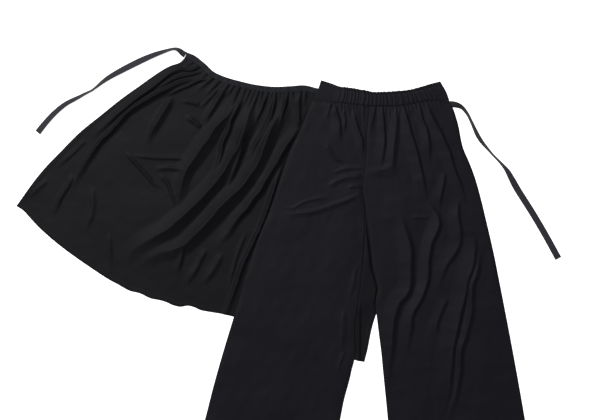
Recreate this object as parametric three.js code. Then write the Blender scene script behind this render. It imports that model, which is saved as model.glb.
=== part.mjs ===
// Wrap trousers laid out flat: wide trousers with an elasticated waistband, and a gathered wrap skirt
// that is joined behind their waist and closes with two ties.
//
// Millimetres. +X runs across the cloth, +Y up to the waist, +Z up from the surface it lies on. The origin
// is the middle of the whole garment's box, on that surface. Right and left are the wearer's, and the
// front is uppermost, so the right leg lies on the -X side.
import * as THREE from 'three';

// Driving dimensions
const WALL = 1.6; // cloth wall, in every panel
const GAP = 0.3; // between pieces at a seam
const BAND_WALL = 2.2; // waistband: two layers of cloth round an elastic
const TIE_WIDTH = 15; // skirt band and ties, one folded strip
const TIE_WALL = 1.8;
const SKIRT_STACK = TIE_WALL + GAP; // how far the skirt lifts the trousers that lie on it
const LEG_LOFT = 1.0; // extra air between a leg's two layers, away from its seams
const LOFT_RUN = 30; // how far in from a seam that air takes to open

// Gathers at each waist seam, and the columns that carry them from waist to hem
const SKIRT_GATHERS = 26; // in the part of the skirt that shows
const SKIRT_SHOWN = 0.5; // share of the skirt's waist that the trousers leave in view
const SKIRT_HIDDEN_COLUMNS = 12;
const LEG_GATHERS = { right: 10, left: 14 };
const COLUMNS_PER_GATHER = 3;
const BAND_PUCKERS = 24;

// Seam lines, each a row of [x, y] points with a smooth curve through them
const SIDE_RIGHT = [[58.5, 369.5], [51, 354.5], [31, 304.5], [7.5, 257], [-16.5, 194.5], [-49, 97],
  [-83, 13], [-110, -73], [-136.5, -160.5], [-164, -250.5], [-190, -342], [-212, -428], [-216, -440.5]];
const SIDE_LEFT = [[401, 362], [405, 357.5], [420, 314], [433, 254], [450, 213.5], [463.5, 177],
  [477, 129.5], [485, 97], [510, -10.5], [523.5, -78], [543.5, -180.5], [560.5, -270.5], [577, -362],
  [588.5, -428], [593, -450.5]];
const CENTRE_FRONT = [[201, 355], [193.5, 297], [191, 222], [185, 172], [183.5, 146]];
const INSEAM_RIGHT = [[184.5, 132], [187, 97], [187.5, 47], [183.5, -15.5], [178.5, -78], [170, -138],
  [163.5, -183], [162, -215.5], [158.5, -273], [151, -303], [146, -328], [132, -378], [122, -428],
  [104.5, -501.5]];
const INSEAM_LEFT = [[185, 132], [191, 97], [196, 59.5], [201, 22], [205, -15.5], [208.5, -48], [216, -78],
  [222, -103], [218.5, -128], [220, -153], [223.5, -178], [228.5, -215.5], [233.5, -253], [238.5, -303],
  [243.5, -353], [248.5, -403], [258, -501.5]];
const BAND_TOP = [[78.5, 417], [88.5, 414.5], [106, 409.5], [126, 402], [151, 398], [188.5, 392],
  [208.5, 388], [238.5, 388], [288.5, 392], [306, 394.5], [338.5, 404.5], [356, 409.5], [376, 414.5]];
const BAND_SIDE_RIGHT = [[78.5, 417], [71, 397], [58.5, 369.5]];
const BAND_SIDE_LEFT = [[376, 414.5], [391.5, 388], [401, 362]];
const BAND_FOOT_RIGHT = [[58.5, 369.5], [95, 365.5], [133.5, 362], [167, 358], [201, 355]];
const BAND_FOOT_LEFT = [[201, 355], [240, 354], [278, 355.5], [318, 363], [348, 368], [376, 367],
  [401, 362]];
const SKIRT_WAIST = [[-256.5, 491], [-236.5, 479.5], [-211.5, 458.5], [-189, 437], [-159, 424.5],
  [-124, 414.5], [-81.5, 406], [-36.5, 402], [1, 402.5], [38.5, 404.5], [71, 396], [150, 385],
  [236, 378.5], [320, 372.5], [401.5, 368.5]];
const SKIRT_FRONT_EDGE = [[-264, 478], [-274, 466], [-299, 457], [-324, 443], [-374, 408], [-424, 372],
  [-474, 332], [-524, 289.5], [-574, 237], [-624, 184.5], [-649, 147], [-679, 107]];
const SKIRT_HEM = [[-679, 107], [-649, 82], [-624, 56], [-589, 19.5], [-556.5, -3], [-524, -24],
  [-484, -55.5], [-449, -73], [-399, -103], [-374, -109], [-346.5, -120.5], [-306.5, -132], [-274, -143],
  [-254, -139], [-236.5, -142], [-199, -154], [-151.5, -163], [-60, -189], [26, -215.5], [100, -248],
  [161, -275.5], [183.5, -280.5]];
const SKIRT_BACK_EDGE = [[400, 353], [340, 180], [277, 0], [216, -158], [201, -203], [191, -253],
  [183.5, -280.5]];

// Folds. Each row is one fold: the line of its crest, how far its two flanks reach (going from the first
// point to the last, the gentle right-hand flank and the plain left-hand flank), and how high it stands.
const SKIRT_FOLDS = [
  { crest: [[-334, 407], [-391, 367], [-429, 333], [-484, 282]], right: 22, left: 8, high: 4 },
  { crest: [[-205, 440], [-238, 437], [-274, 429], [-318, 412], [-352, 392]], right: 9, left: 8, high: 4 },
  { crest: [[-211, 430], [-249, 414], [-284, 402], [-320, 387], [-366, 366], [-399, 345], [-424, 322],
    [-449, 293], [-470, 268], [-486, 243], [-520, 193], [-529, 159], [-544, 112]],
    right: 14, left: 14, high: 8 },
  { crest: [[-294, 380], [-324, 342], [-349, 297], [-359, 264]], right: 11, left: 20, high: 5 },
  { crest: [[-178, 402], [-206, 380], [-228, 358], [-256, 354]], right: 9, left: 8, high: 4 },
  { crest: [[-158, 399], [-177, 374], [-193, 349], [-214, 304]], right: 15, left: 10, high: 5 },
  { crest: [[-124, 388], [-140, 352], [-174, 313], [-202, 275], [-233, 231], [-262, 185], [-275, 120],
    [-279, 84]], right: 12, left: 26, high: 8 },
  { crest: [[-114, 391], [-133, 347], [-152, 300], [-166, 266], [-175, 222], [-194, 170]],
    right: 9, left: 10, high: 7 },
  { crest: [[-84, 385], [-103, 330], [-121, 275], [-146, 225], [-174, 178], [-221, 125], [-274, 75],
    [-329, 35], [-394, -10], [-416, -50]], right: 17, left: 28, high: 9 },
  { crest: [[-105, 300], [-124, 234], [-146, 178], [-156, 142]], right: 14, left: 11, high: 7 },
  { crest: [[-38, 384], [-46, 334], [-70, 285], [-94, 236], [-106, 205]], right: 14, left: 9, high: 7 },
  { crest: [[-12, 382], [-26, 335], [-52, 284], [-68, 238], [-93, 191], [-127, 147], [-171, 106],
    [-209, 62], [-259, 12], [-334, -15], [-388, -50]], right: 14, left: 26, high: 11 },
  { crest: [[-6, 384], [-12, 358], [-24, 300]], right: 8, left: 9, high: 5 },
  { crest: [[28, 312], [-2, 266], [-30, 219], [-55, 178], [-74, 144], [-105, 103], [-139, 62],
    [-188, 6]], right: 16, left: 14, high: 8 },
  { crest: [[-262, 12], [-270, -20], [-277, -56]], right: 14, left: 10, high: 5 },
  { crest: [[-541, 182], [-550, 162], [-572, 126], [-587, 86]], right: 12, left: 9, high: 4 },
];
const LEG_FOLDS = {
  right: [
    { crest: [[109, 358], [118, 338], [123, 318], [127, 262]], right: 12, left: 9, high: 4 },
    { crest: [[158, 350], [165, 318], [180, 268], [184, 228]], right: 9, left: 8, high: 4 },
    { crest: [[90, 280], [98, 264], [112, 248], [138, 224]], right: 9, left: 12, high: 3 },
    { crest: [[184, 185], [146, 180], [122, 173], [104, 164], [88, 150]], right: 9, left: 13, high: 4 },
    { crest: [[182, 142], [150, 126], [100, 108], [50, 93], [12, 89], [-24, 86]],
      right: 9, left: 13, high: 4 },
  ],
  left: [
    { crest: [[209, 362], [206, 334], [197, 284]], right: 8, left: 8, high: 3 },
    { crest: [[227, 358], [233, 322], [236, 262], [226, 196]], right: 12, left: 8, high: 4 },
    { crest: [[268, 356], [266, 310], [260, 262], [253, 170]], right: 10, left: 15, high: 5 },
    { crest: [[279, 366], [289, 338], [308, 270], [323, 215], [342, 108]], right: 14, left: 9, high: 6 },
    { crest: [[318, 368], [328, 332], [347, 258], [349, 206]], right: 12, left: 8, high: 4 },
    { crest: [[336, 370], [346, 345], [384, 274], [404, 215], [431, 144], [440, 100]],
      right: 13, left: 9, high: 6 },
    { crest: [[308, 140], [290, 165], [262, 190], [232, 206], [192, 216]], right: 14, left: 24, high: 4 },
    { crest: [[268, 96], [298, 16], [302, -44], [290, -116], [265, -160], [256, -228], [242, -366]],
      right: 17, left: 12, high: 7 },
    { crest: [[354, 102], [372, 60], [354, 14], [343, -78], [308, -160], [296, -240], [286, -290]],
      right: 14, left: 11, high: 8 },
    { crest: [[388, 196], [384, 166], [372, 92]], right: 11, left: 9, high: 4 },
    { crest: [[423, 132], [425, 40], [396, -34], [364, -116]], right: 15, left: 10, high: 5 },
    { crest: [[394, -118], [371, -176], [364, -222]], right: 12, left: 9, high: 4 },
    { crest: [[459, 50], [462, -6], [440, -108], [415, -213], [400, -343], [372, -436]],
      right: 24, left: 10, high: 6 },
    { crest: [[476, 6], [455, -93], [450, -168], [426, -258], [408, -388], [390, -446]],
      right: 10, left: 12, high: 7 },
  ],
};

// Ties. Each row is a place along the strip's middle, and how many degrees it is rolled out of flat there.
const TIE_RIGHT = [
  { x: -261, y: 484.9, roll: 0 }, { x: -267, y: 488.4, roll: 30 }, { x: -273, y: 494, roll: 68 },
  { x: -281.5, y: 498, roll: 84 }, { x: -289, y: 499, roll: 85 }, { x: -309, y: 495.5, roll: 66 },
  { x: -339, y: 485, roll: 42 }, { x: -372.5, y: 472, roll: 26 }, { x: -416, y: 450.5, roll: 34 },
  { x: -456, y: 427, roll: 60 }, { x: -484, y: 405, roll: 80 }, { x: -492, y: 399, roll: 84 },
  { x: -509, y: 390, roll: 72 }, { x: -523, y: 383, roll: 64 }, { x: -560, y: 366, roll: 48 },
  { x: -590, y: 341, roll: 38 }, { x: -615, y: 311, roll: 32 }, { x: -629, y: 291.5, roll: 26 },
];
const TIE_LEFT = [
  { x: 402, y: 361, roll: 0 }, { x: 409, y: 360.4, roll: 10 }, { x: 417, y: 358.6, roll: 68 },
  { x: 431, y: 352, roll: 70 }, { x: 446, y: 336, roll: 80 }, { x: 456, y: 316, roll: 82 },
  { x: 471, y: 282, roll: 62 }, { x: 481, y: 267, roll: 66 }, { x: 493.5, y: 252, roll: 82 },
  { x: 511, y: 232, roll: 88 }, { x: 529, y: 212, roll: 84 }, { x: 541.5, y: 195, roll: 66 },
  { x: 551, y: 177, roll: 42 }, { x: 565, y: 150, roll: 20 }, { x: 589, y: 112, roll: 8 },
  { x: 607, y: 85, roll: 5 }, { x: 638, y: 35, roll: 4 }, { x: 671.5, y: -24, roll: 3 },
];

const smooth = (from, to, value) => {
  const t = Math.min(1, Math.max(0, (value - from) / (to - from)));
  return t * t * (3 - 2 * t);
};
const curveThrough = (rows) => new THREE.CatmullRomCurve3(
  rows.map(([x, y]) => new THREE.Vector3(x, y, 0)), false, 'centripetal');
const shifted = (rows, dx, dy) => rows.map(([x, y]) => [x + dx, y + dy]);

/** Steps from 0 to 1: fine ones down to share fineTo, then coarse ones. */
const steps = (fine, fineTo, coarse) => [
  ...Array.from({ length: fine }, (_, i) => (fineTo * i) / fine),
  ...Array.from({ length: coarse + 1 }, (_, i) => fineTo + ((1 - fineTo) * i) / coarse),
];
const even = (count) => steps(0, 0, count);

/** How far a point is outside a closed outline, or minus how far it is inside. */
function outsideBy(outline, x, y) {
  let nearest = Infinity;
  let inside = false;
  for (let i = 0, j = outline.length - 1; i < outline.length; j = i, i += 1) {
    const a = outline[j];
    const b = outline[i];
    const dx = b.x - a.x;
    const dy = b.y - a.y;
    const t = Math.min(1, Math.max(0, ((x - a.x) * dx + (y - a.y) * dy) / (dx * dx + dy * dy || 1)));
    nearest = Math.min(nearest, Math.hypot(x - a.x - t * dx, y - a.y - t * dy));
    if ((a.y > y) !== (b.y > y) && x < a.x + ((y - a.y) * dx) / dy) inside = !inside;
  }
  return inside ? -nearest : nearest;
}

const CREST_STEPS = 24;
const GENTLE_RUN = 1.7; // how much farther than its reach a fold's gentle flank fades out
const GENTLE_HOLLOW = 2.2; // over 1 hollows a flank out, as cloth does under its own weight
const PLAIN_HOLLOW = 1.2;
const FOLD_OPENS = 0.2; // the share of its line over which a fold rises
const FOLD_FADES = 0.6; // the share from which it sinks again
const FOLDS_ADD = 0.35; // how much of the lower one shows where two folds meet

/** One fold's height at a point: a crest with a hollow gentle flank and a steeper, fuller one. */
function ridge(fold, x, y) {
  fold.line ??= curveThrough(fold.crest).getSpacedPoints(CREST_STEPS);
  const { line } = fold;
  const last = line.length - 1;
  let best = Infinity;
  let side = 0;
  let along = 0;
  for (let i = 0; i < last; i += 1) {
    const a = line[i];
    const dx = line[i + 1].x - a.x;
    const dy = line[i + 1].y - a.y;
    const t = Math.min(1, Math.max(0, ((x - a.x) * dx + (y - a.y) * dy) / (dx * dx + dy * dy)));
    const off = Math.hypot(x - a.x - t * dx, y - a.y - t * dy);
    if (off < best) {
      best = off;
      side = dx * (y - a.y) - dy * (x - a.x);
      along = (i + t) / last;
    }
  }
  const gentle = side < 0;
  const left = 1 - best / (gentle ? GENTLE_RUN * fold.right : fold.left);
  if (left <= 0) return 0;
  const flank = left ** (gentle ? GENTLE_HOLLOW : PLAIN_HOLLOW);
  return fold.high * flank * smooth(0, FOLD_OPENS, along) * (1 - smooth(FOLD_FADES, 1, along));
}

/** Folds laid over each other: the higher one shows, with a valley where they meet. */
const foldHeight = (folds, x, y) => folds.reduce((height, fold) => {
  const next = ridge(fold, x, y);
  return Math.max(height, next) + FOLDS_ADD * Math.min(height, next);
}, 0);

/** A patch of cloth between four seam lines: its place at u across and v down. */
function patch(top, foot, start, end) {
  const [t, f, s, e] = [top, foot, start, end].map(curveThrough);
  const corner = [t.getPointAt(0), t.getPointAt(1), f.getPointAt(0), f.getPointAt(1)];
  return (u, v) => {
    const [a, b, c, d] = [t.getPointAt(u), f.getPointAt(u), s.getPointAt(v), e.getPointAt(v)];
    const mix = (k) => (1 - v) * a[k] + v * b[k] + (1 - u) * c[k] + u * d[k]
      - (1 - u) * (1 - v) * corner[0][k] - u * (1 - v) * corner[1][k]
      - (1 - u) * v * corner[2][k] - u * v * corner[3][k];
    return new THREE.Vector2(mix('x'), mix('y'));
  };
}

/** A closed wall from a grid of lower and upper points, each grid[row][column]. */
function wallGeometry(lower, upper) {
  const rows = lower.length;
  const columns = lower[0].length;
  const points = [...lower.flat(), ...upper.flat()].flatMap((p) => [p.x, p.y, p.z]);
  const low = (r, c) => r * columns + c;
  const high = (r, c) => rows * columns + low(r, c);
  const faces = [];
  const quad = (a, b, c, d) => faces.push(a, b, c, a, c, d);
  for (let r = 0; r < rows - 1; r += 1) {
    for (let c = 0; c < columns - 1; c += 1) {
      quad(high(r, c), high(r + 1, c), high(r + 1, c + 1), high(r, c + 1));
      quad(low(r, c), low(r, c + 1), low(r + 1, c + 1), low(r + 1, c));
    }
    quad(low(r, 0), low(r + 1, 0), high(r + 1, 0), high(r, 0));
    quad(high(r, columns - 1), high(r + 1, columns - 1), low(r + 1, columns - 1), low(r, columns - 1));
  }
  for (let c = 0; c < columns - 1; c += 1) {
    quad(high(0, c), high(0, c + 1), low(0, c + 1), low(0, c));
    quad(low(rows - 1, c), low(rows - 1, c + 1), high(rows - 1, c + 1), high(rows - 1, c));
  }
  const geometry = new THREE.BufferGeometry();
  geometry.setAttribute('position', new THREE.Float32BufferAttribute(points, 3));
  geometry.setIndex(faces);
  geometry.computeVertexNormals();
  return geometry;
}

/** Cloth laid over the plan of a patch: its underside height is under(x, y, column, v). */
function panel(place, us, vs, under, wall) {
  const lower = vs.map((v) => us.map((u, column) => {
    const p = place(u, v);
    return new THREE.Vector3(p.x, p.y, under(p.x, p.y, column, v));
  }));
  const upper = lower.map((row) => row.map((p) => new THREE.Vector3(p.x, p.y, p.z + wall)));
  return wallGeometry(lower, upper);
}

// Materials
const cloth = new THREE.MeshStandardMaterial({ color: '#1b1c1f', roughness: 0.85, metalness: 0 });
const bandCloth = new THREE.MeshStandardMaterial({ color: '#1e1f22', roughness: 0.88, metalness: 0 });
const tieCloth = new THREE.MeshStandardMaterial({ color: '#303238', roughness: 0.85, metalness: 0 });

const garment = new THREE.Group();
function add(name, geometry, material) {
  const mesh = new THREE.Mesh(geometry, material);
  mesh.name = name;
  garment.add(mesh);
}

// Outlines that the layers rest on
const OUTLINE_STEPS = 40;
const line = (rows) => curveThrough(rows).getSpacedPoints(OUTLINE_STEPS);
const trouserOutline = [
  ...line(BAND_TOP), ...line(BAND_SIDE_LEFT), ...line(SIDE_LEFT), ...line(INSEAM_LEFT).reverse(),
  ...line(INSEAM_RIGHT), ...line(SIDE_RIGHT).reverse(), ...line(BAND_SIDE_RIGHT).reverse(),
];
const skirtOutline = [
  ...line(SKIRT_WAIST), ...line(SKIRT_BACK_EDGE), ...line(SKIRT_HEM).reverse(),
  ...line(SKIRT_FRONT_EDGE).reverse(),
];

// The skirt lies flat under the trousers, and its folds rise a little way out from them
const FLAT_OUT = 20;
const FOLDS_OUT = 40;
const shownSkirt = (x, y) => smooth(FLAT_OUT, FOLDS_OUT, outsideBy(trouserOutline, x, y));
// The trousers lie on the skirt, and come down to the surface a little way past its edge
const LEVEL_OUT = 20;
const DOWN_OUT = 70;
const onSkirt = (x, y) => SKIRT_STACK * (1 - smooth(LEVEL_OUT, DOWN_OUT, outsideBy(skirtOutline, x, y)));

/** The skirt's band: a flat strip along its waist. Returns the waist line of the cloth below it. */
function skirtBand() {
  const BAND_STEPS = 44;
  const curve = curveThrough(SKIRT_WAIST);
  const across = (offset) => even(BAND_STEPS).map((u) => {
    const p = curve.getPointAt(u);
    const t = curve.getTangentAt(u);
    return new THREE.Vector3(p.x + t.y * offset, p.y - t.x * offset, 0);
  });
  const lower = [across(0), across(TIE_WIDTH)];
  const upper = lower.map((points) => points.map((p) => new THREE.Vector3(p.x, p.y, TIE_WALL)));
  add('skirt_band', wallGeometry(lower, upper), bandCloth);
  return across(TIE_WIDTH + 2 * GAP).map((p) => [p.x, p.y]);
}

/** The skirt panel, with gathers that start at its band and die out below it. */
function skirtPanel(waist) {
  const GATHER_HIGH = 3.2;
  const GATHER_FADE = 0.16; // share of the skirt's length
  const SHOWN_COLUMNS = 2 * SKIRT_GATHERS;
  const rows = steps(5, 0.12, 18); // close under the gathers
  const place = patch(waist, SKIRT_HEM, [waist[0], ...SKIRT_FRONT_EDGE.slice(1)],
    [waist.at(-1), ...SKIRT_BACK_EDGE.slice(1)]);
  const us = [
    ...even(SHOWN_COLUMNS).map((u) => u * SKIRT_SHOWN),
    ...even(SKIRT_HIDDEN_COLUMNS).slice(1).map((u) => SKIRT_SHOWN + u * (1 - SKIRT_SHOWN)),
  ];
  const gather = (column, v) => {
    if (column % 2 === 0 || column > SHOWN_COLUMNS) return 0;
    const uneven = 0.7 + 0.3 * Math.sin(column * 1.7);
    return GATHER_HIGH * uneven * (1 - smooth(0, GATHER_FADE * uneven, v));
  };
  const under = (x, y, column, v) => (foldHeight(SKIRT_FOLDS, x, y) + gather(column, v)) * shownSkirt(x, y);
  add('skirt_panel', panel(place, us, rows, under, WALL), cloth);
}

/** One leg: a flat back panel, and a front panel on it with the waist's gathers and the long folds. */
function leg(side, foot, outer, inseam) {
  const GATHER_HIGH = 2.4;
  const GATHER_FADE = 0.13;
  const columns = LEG_GATHERS[side] * COLUMNS_PER_GATHER;
  const toCentre = side === 'right' ? -GAP / 2 : GAP / 2;
  const BAND_GAP = 1.5 * GAP; // stays clear of the band all along its curve
  const waist = shifted(foot, 0, -BAND_GAP);
  const inner = shifted([...CENTRE_FRONT, ...inseam], toCentre, 0);
  // Columns run from -X to +X on both legs, so that the walls face out
  const [start, end] = side === 'right' ? [outer, inner] : [inner, outer];
  waist[0] = [start[0][0], waist[0][1]];
  waist[waist.length - 1] = [end[0][0], waist.at(-1)[1]];
  const edges = [[waist[0], ...start.slice(1)], [waist.at(-1), ...end.slice(1)]];
  const place = patch(waist, [start.at(-1), end.at(-1)], ...edges);
  const outline = [...line(edges[0]), ...line(edges[1]).reverse()];
  const rows = steps(5, 0.09, 15); // close under the gathers
  const inFrom = (x, y) => -outsideBy(outline, x, y);
  const gather = (column, v) => {
    if (column % COLUMNS_PER_GATHER !== 1) return 0;
    const uneven = 0.72 + 0.28 * Math.sin(column * 2.3);
    return GATHER_HIGH * uneven * (1 - smooth(0, GATHER_FADE * uneven, v));
  };
  const under = (x, y, column, v) => onSkirt(x, y) + WALL + GAP + gather(column, v)
    + LEG_LOFT * smooth(0, LOFT_RUN, inFrom(x, y))
    + foldHeight(LEG_FOLDS[side], x, y) * smooth(0, LOFT_RUN / 3, inFrom(x, y));
  add(`trouser_back_${side}`, panel(place, even(LEG_GATHERS[side]), rows, onSkirt, WALL), cloth);
  add(`trouser_front_${side}`, panel(place, even(columns), rows, under, WALL), cloth);
}

/** The waistband: a flat back half and a puckered front half over its elastic. */
function waistband() {
  const PUCKER_HIGH = 1.4;
  const SMOOTH_END = 0.1; // share of the band beside each side seam with no pucker
  const foot = [...BAND_FOOT_RIGHT, ...BAND_FOOT_LEFT.slice(1)];
  const place = patch(BAND_TOP, foot, BAND_SIDE_RIGHT, BAND_SIDE_LEFT);
  const back = SKIRT_STACK;
  const front = back + BAND_WALL + GAP;
  const us = even(2 * BAND_PUCKERS);
  const pucker = (x, y, column) => {
    const ease = smooth(0, SMOOTH_END, us[column]) * smooth(0, SMOOTH_END, 1 - us[column]);
    return front + (column % 2) * PUCKER_HIGH * ease * (0.7 + 0.3 * Math.sin(column * 1.9));
  };
  add('waistband_back', panel(place, us, even(1), () => back, BAND_WALL), bandCloth);
  add('waistband_front', panel(place, us, even(2), pucker, BAND_WALL), bandCloth);
}

/** A tie: a flat strip that rolls about its own line, with its low edge on the surface. */
function tie(name, rows) {
  const STEPS = 40;
  const path = curveThrough(rows.map((row) => [row.x, row.y]));
  const stations = even(STEPS).map((t) => {
    const middle = path.getPoint(t);
    const heading = path.getTangent(t);
    const row = Math.min(rows.length - 2, Math.floor(t * (rows.length - 1)));
    const roll = THREE.MathUtils.degToRad(
      THREE.MathUtils.lerp(rows[row].roll, rows[row + 1].roll, t * (rows.length - 1) - row));
    const [c, s] = [Math.cos(roll), Math.sin(roll)];
    const height = (TIE_WIDTH / 2) * s + (TIE_WALL / 2) * c;
    return (wide, thick) => {
      const off = wide * c - thick * s;
      return new THREE.Vector3(middle.x - heading.y * off, middle.y + heading.x * off,
        height + wide * s + thick * c);
    };
  });
  const strip = (thick) => [TIE_WIDTH / 2, -TIE_WIDTH / 2].map(
    (wide) => stations.map((at) => at(wide, thick)));
  add(name, wallGeometry(strip(-TIE_WALL / 2), strip(TIE_WALL / 2)), tieCloth);
}

skirtPanel(skirtBand());
leg('right', BAND_FOOT_RIGHT, SIDE_RIGHT, INSEAM_RIGHT);
leg('left', BAND_FOOT_LEFT, SIDE_LEFT, INSEAM_LEFT);
waistband();
tie('tie_right', TIE_RIGHT);
tie('tie_left', TIE_LEFT);

export default garment;
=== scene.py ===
import math

import bpy
import numpy as np
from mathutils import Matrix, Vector


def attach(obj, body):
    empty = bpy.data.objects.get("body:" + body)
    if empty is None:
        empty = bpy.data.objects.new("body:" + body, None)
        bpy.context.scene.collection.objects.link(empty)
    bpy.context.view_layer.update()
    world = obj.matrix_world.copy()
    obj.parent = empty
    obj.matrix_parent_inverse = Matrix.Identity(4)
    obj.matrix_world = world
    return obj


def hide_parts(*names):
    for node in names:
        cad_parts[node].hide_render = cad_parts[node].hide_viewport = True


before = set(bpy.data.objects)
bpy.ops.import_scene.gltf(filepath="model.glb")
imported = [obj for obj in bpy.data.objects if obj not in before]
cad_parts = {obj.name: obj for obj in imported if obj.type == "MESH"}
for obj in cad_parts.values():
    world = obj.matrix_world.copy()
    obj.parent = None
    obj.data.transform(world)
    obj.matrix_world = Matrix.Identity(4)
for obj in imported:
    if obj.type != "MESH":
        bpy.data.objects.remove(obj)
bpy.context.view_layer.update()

# The view: the garment is laid out on a white surface and photographed from straight above, with the
# legs running out of the bottom of the picture. The frame is 1.5 m wide on the cloth.
MM = 0.001
VIEW_WIDTH = 1500
VIEW_CENTRE = (26, 97)
LENS = 50
SENSOR = 36
lens = bpy.data.cameras.new("camera")
lens.lens = LENS
lens.sensor_width = SENSOR
camera = bpy.data.objects.new("camera", lens)
camera.location = (VIEW_CENTRE[0] * MM, VIEW_CENTRE[1] * MM, VIEW_WIDTH * MM * LENS / SENSOR)
bpy.context.collection.objects.link(camera)
bpy.context.scene.camera = camera

# The trousers' seam lines, in mm, where they lie: four wide leg panels, two front and two back, cut from
# fine black cloth. Right and left are the wearer's, and the right leg lies on the -X side.
SIDE_RIGHT = [
    (58.5, 369.5), (51, 354.5), (31, 304.5), (7.5, 257), (-16.5, 194.5), (-49, 97), (-83, 13),
    (-110, -73), (-136.5, -160.5), (-164, -250.5), (-190, -342), (-212, -428), (-216, -440.5)]
SIDE_LEFT = [
    (401, 362), (405, 357.5), (420, 314), (433, 254), (450, 213.5), (463.5, 177), (477, 129.5),
    (485, 97), (510, -10.5), (523.5, -78), (543.5, -180.5), (560.5, -270.5), (577, -362),
    (588.5, -428), (593, -450.5)]
CENTRE_FRONT = [(201, 355), (193.5, 297), (191, 222), (185, 172), (183.5, 146)]
INSEAM_RIGHT = [
    (184.5, 132), (187, 97), (187.5, 47), (183.5, -15.5), (178.5, -78), (170, -138), (163.5, -183),
    (163, -215.5), (162, -273), (155, -303), (149.5, -328), (136, -378), (126, -428), (108.5, -501.5)]
INSEAM_LEFT = [
    (185, 132), (191, 97), (196, 59.5), (201, 22), (205, -15.5), (208.5, -48), (216, -78),
    (220, -103), (215.5, -128), (216, -153), (218.5, -178), (223, -215.5), (228, -253),
    (233, -303), (238, -353), (243, -403), (252.5, -501.5)]
WAIST_TOP = [
    (78.5, 421), (88.5, 418), (106, 412.5), (126, 405), (151, 402), (188.5, 395.5), (208.5, 391.5),
    (238.5, 392), (288.5, 395.5), (306, 398.5), (338.5, 407.5), (356, 413), (376, 418)]
WAIST_SIDE_RIGHT = [(78.5, 421), (71, 399), (58.5, 369.5)]
WAIST_SIDE_LEFT = [(376, 418), (391.5, 390), (401, 362)]


def curve_through(rows, steps=16):
    """A smooth curve through a row of points, as a function of the share of its length. It is a
    centripetal spline, worked out at a number of steps between each two points."""
    points = np.array(rows, float)
    points = np.vstack([2 * points[0] - points[1], points, 2 * points[-1] - points[-2]])
    knots = np.concatenate([[0], np.cumsum(np.linalg.norm(np.diff(points, axis=0), axis=1) ** 0.5)])
    fine = []
    for i in range(1, len(points) - 2):
        k0, k1, k2, k3 = knots[i - 1:i + 3]
        p0, p1, p2, p3 = points[i - 1:i + 3]
        for k in np.linspace(k1, k2, steps, endpoint=False):
            a = ((k1 - k) * p0 + (k - k0) * p1) / (k1 - k0)
            b = ((k2 - k) * p1 + (k - k1) * p2) / (k2 - k1)
            c = ((k3 - k) * p2 + (k - k2) * p3) / (k3 - k2)
            d = ((k2 - k) * a + (k - k0) * b) / (k2 - k0)
            e = ((k3 - k) * b + (k - k1) * c) / (k3 - k1)
            fine.append(((k2 - k) * d + (k - k1) * e) / (k2 - k1))
    fine = np.array([*fine, points[-2]])
    run = np.concatenate([[0], np.cumsum(np.linalg.norm(np.diff(fine, axis=0), axis=1))])

    def at(share):
        along = np.asarray(share) * run[-1]
        return np.stack([np.interp(along, run, fine[:, k]) for k in range(fine.shape[1])], axis=-1)

    at.length = run[-1]
    return at


def outline(*seams, count=50):
    """A closed outline from seams that follow each other."""
    return np.concatenate([curve_through(rows)(np.linspace(0, 1, count)) for rows in seams])


trouser_outline = outline(
    WAIST_TOP, WAIST_SIDE_LEFT, SIDE_LEFT, INSEAM_LEFT[::-1], INSEAM_RIGHT, SIDE_RIGHT[::-1],
    WAIST_SIDE_RIGHT[::-1])

# The skirt panel: one wide piece of the same cloth, cut to a curved hem, gathered along its top, and
# turned under twice and stitched round its other three sides. It lies on the surface between its folds,
# and quite flat where the trousers lie on it.
SKIRT_WAIST = [
    (-256.5, 491), (-236.5, 482.5), (-211.5, 463), (-189, 442.5), (-159, 429), (-124, 419),
    (-81.5, 409.5), (-36.5, 405), (1, 406.5), (38.5, 408.5), (71, 401), (150, 387), (236, 378.5),
    (320, 372.5), (401.5, 368.5)]
SKIRT_FRONT_EDGE = [
    (-264, 478), (-274, 466), (-299, 457), (-324, 443), (-349, 426), (-374, 408), (-424, 372),
    (-474, 332), (-525, 290.5), (-577, 238), (-602, 212.5), (-626, 185), (-653, 149), (-666, 131),
    (-683, 107)]
SKIRT_HEM = [
    (-683, 107), (-665, 95), (-650, 78.5), (-625, 52), (-589, 20), (-557, -5), (-525, -28),
    (-484, -56), (-450, -78), (-431, -88), (-400, -105), (-374, -111.5), (-347, -124),
    (-324, -128.5), (-306.5, -134), (-294, -140), (-274, -145), (-254, -142.5), (-236.5, -147),
    (-224, -153), (-199, -158), (-174, -162), (-151.5, -167), (-60, -192), (26, -218), (100, -250),
    (161, -277.5), (187, -283)]
SKIRT_BACK_EDGE = [
    (400, 353), (340, 180), (277, 0), (219, -158), (214, -170), (204.5, -203), (194.5, -253),
    (187, -283)]
STRIP_WIDTH = 15
CLOTH = 1.1  # how thick the cloth is shown, with its fluff and its seams
HEM = 10
HEM_EXTRA = 0.5  # how far the hem's turned layers stand up
HEM_STEP = 0.6  # over how far, to each side, that height falls off
EDGE_STEPS = (0, 0.15, 0.5, 1.1)  # how far in from an edge the lines lie where the cloth turns over
FLAT_BESIDE_LEG = 1.0  # how far beside the trousers the skirt stays flat, and where its folds are full
FULL_BESIDE_LEG = 5.5


def beside(rows, offset, count=160):
    """A row of points that runs beside another, offset to its right."""
    points = curve_through(rows)(np.linspace(0, 1, count))
    ahead = np.gradient(points, axis=0)
    ahead /= np.linalg.norm(ahead, axis=1)[:, None]
    return points + offset * np.column_stack([ahead[:, 1], -ahead[:, 0]])


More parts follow.
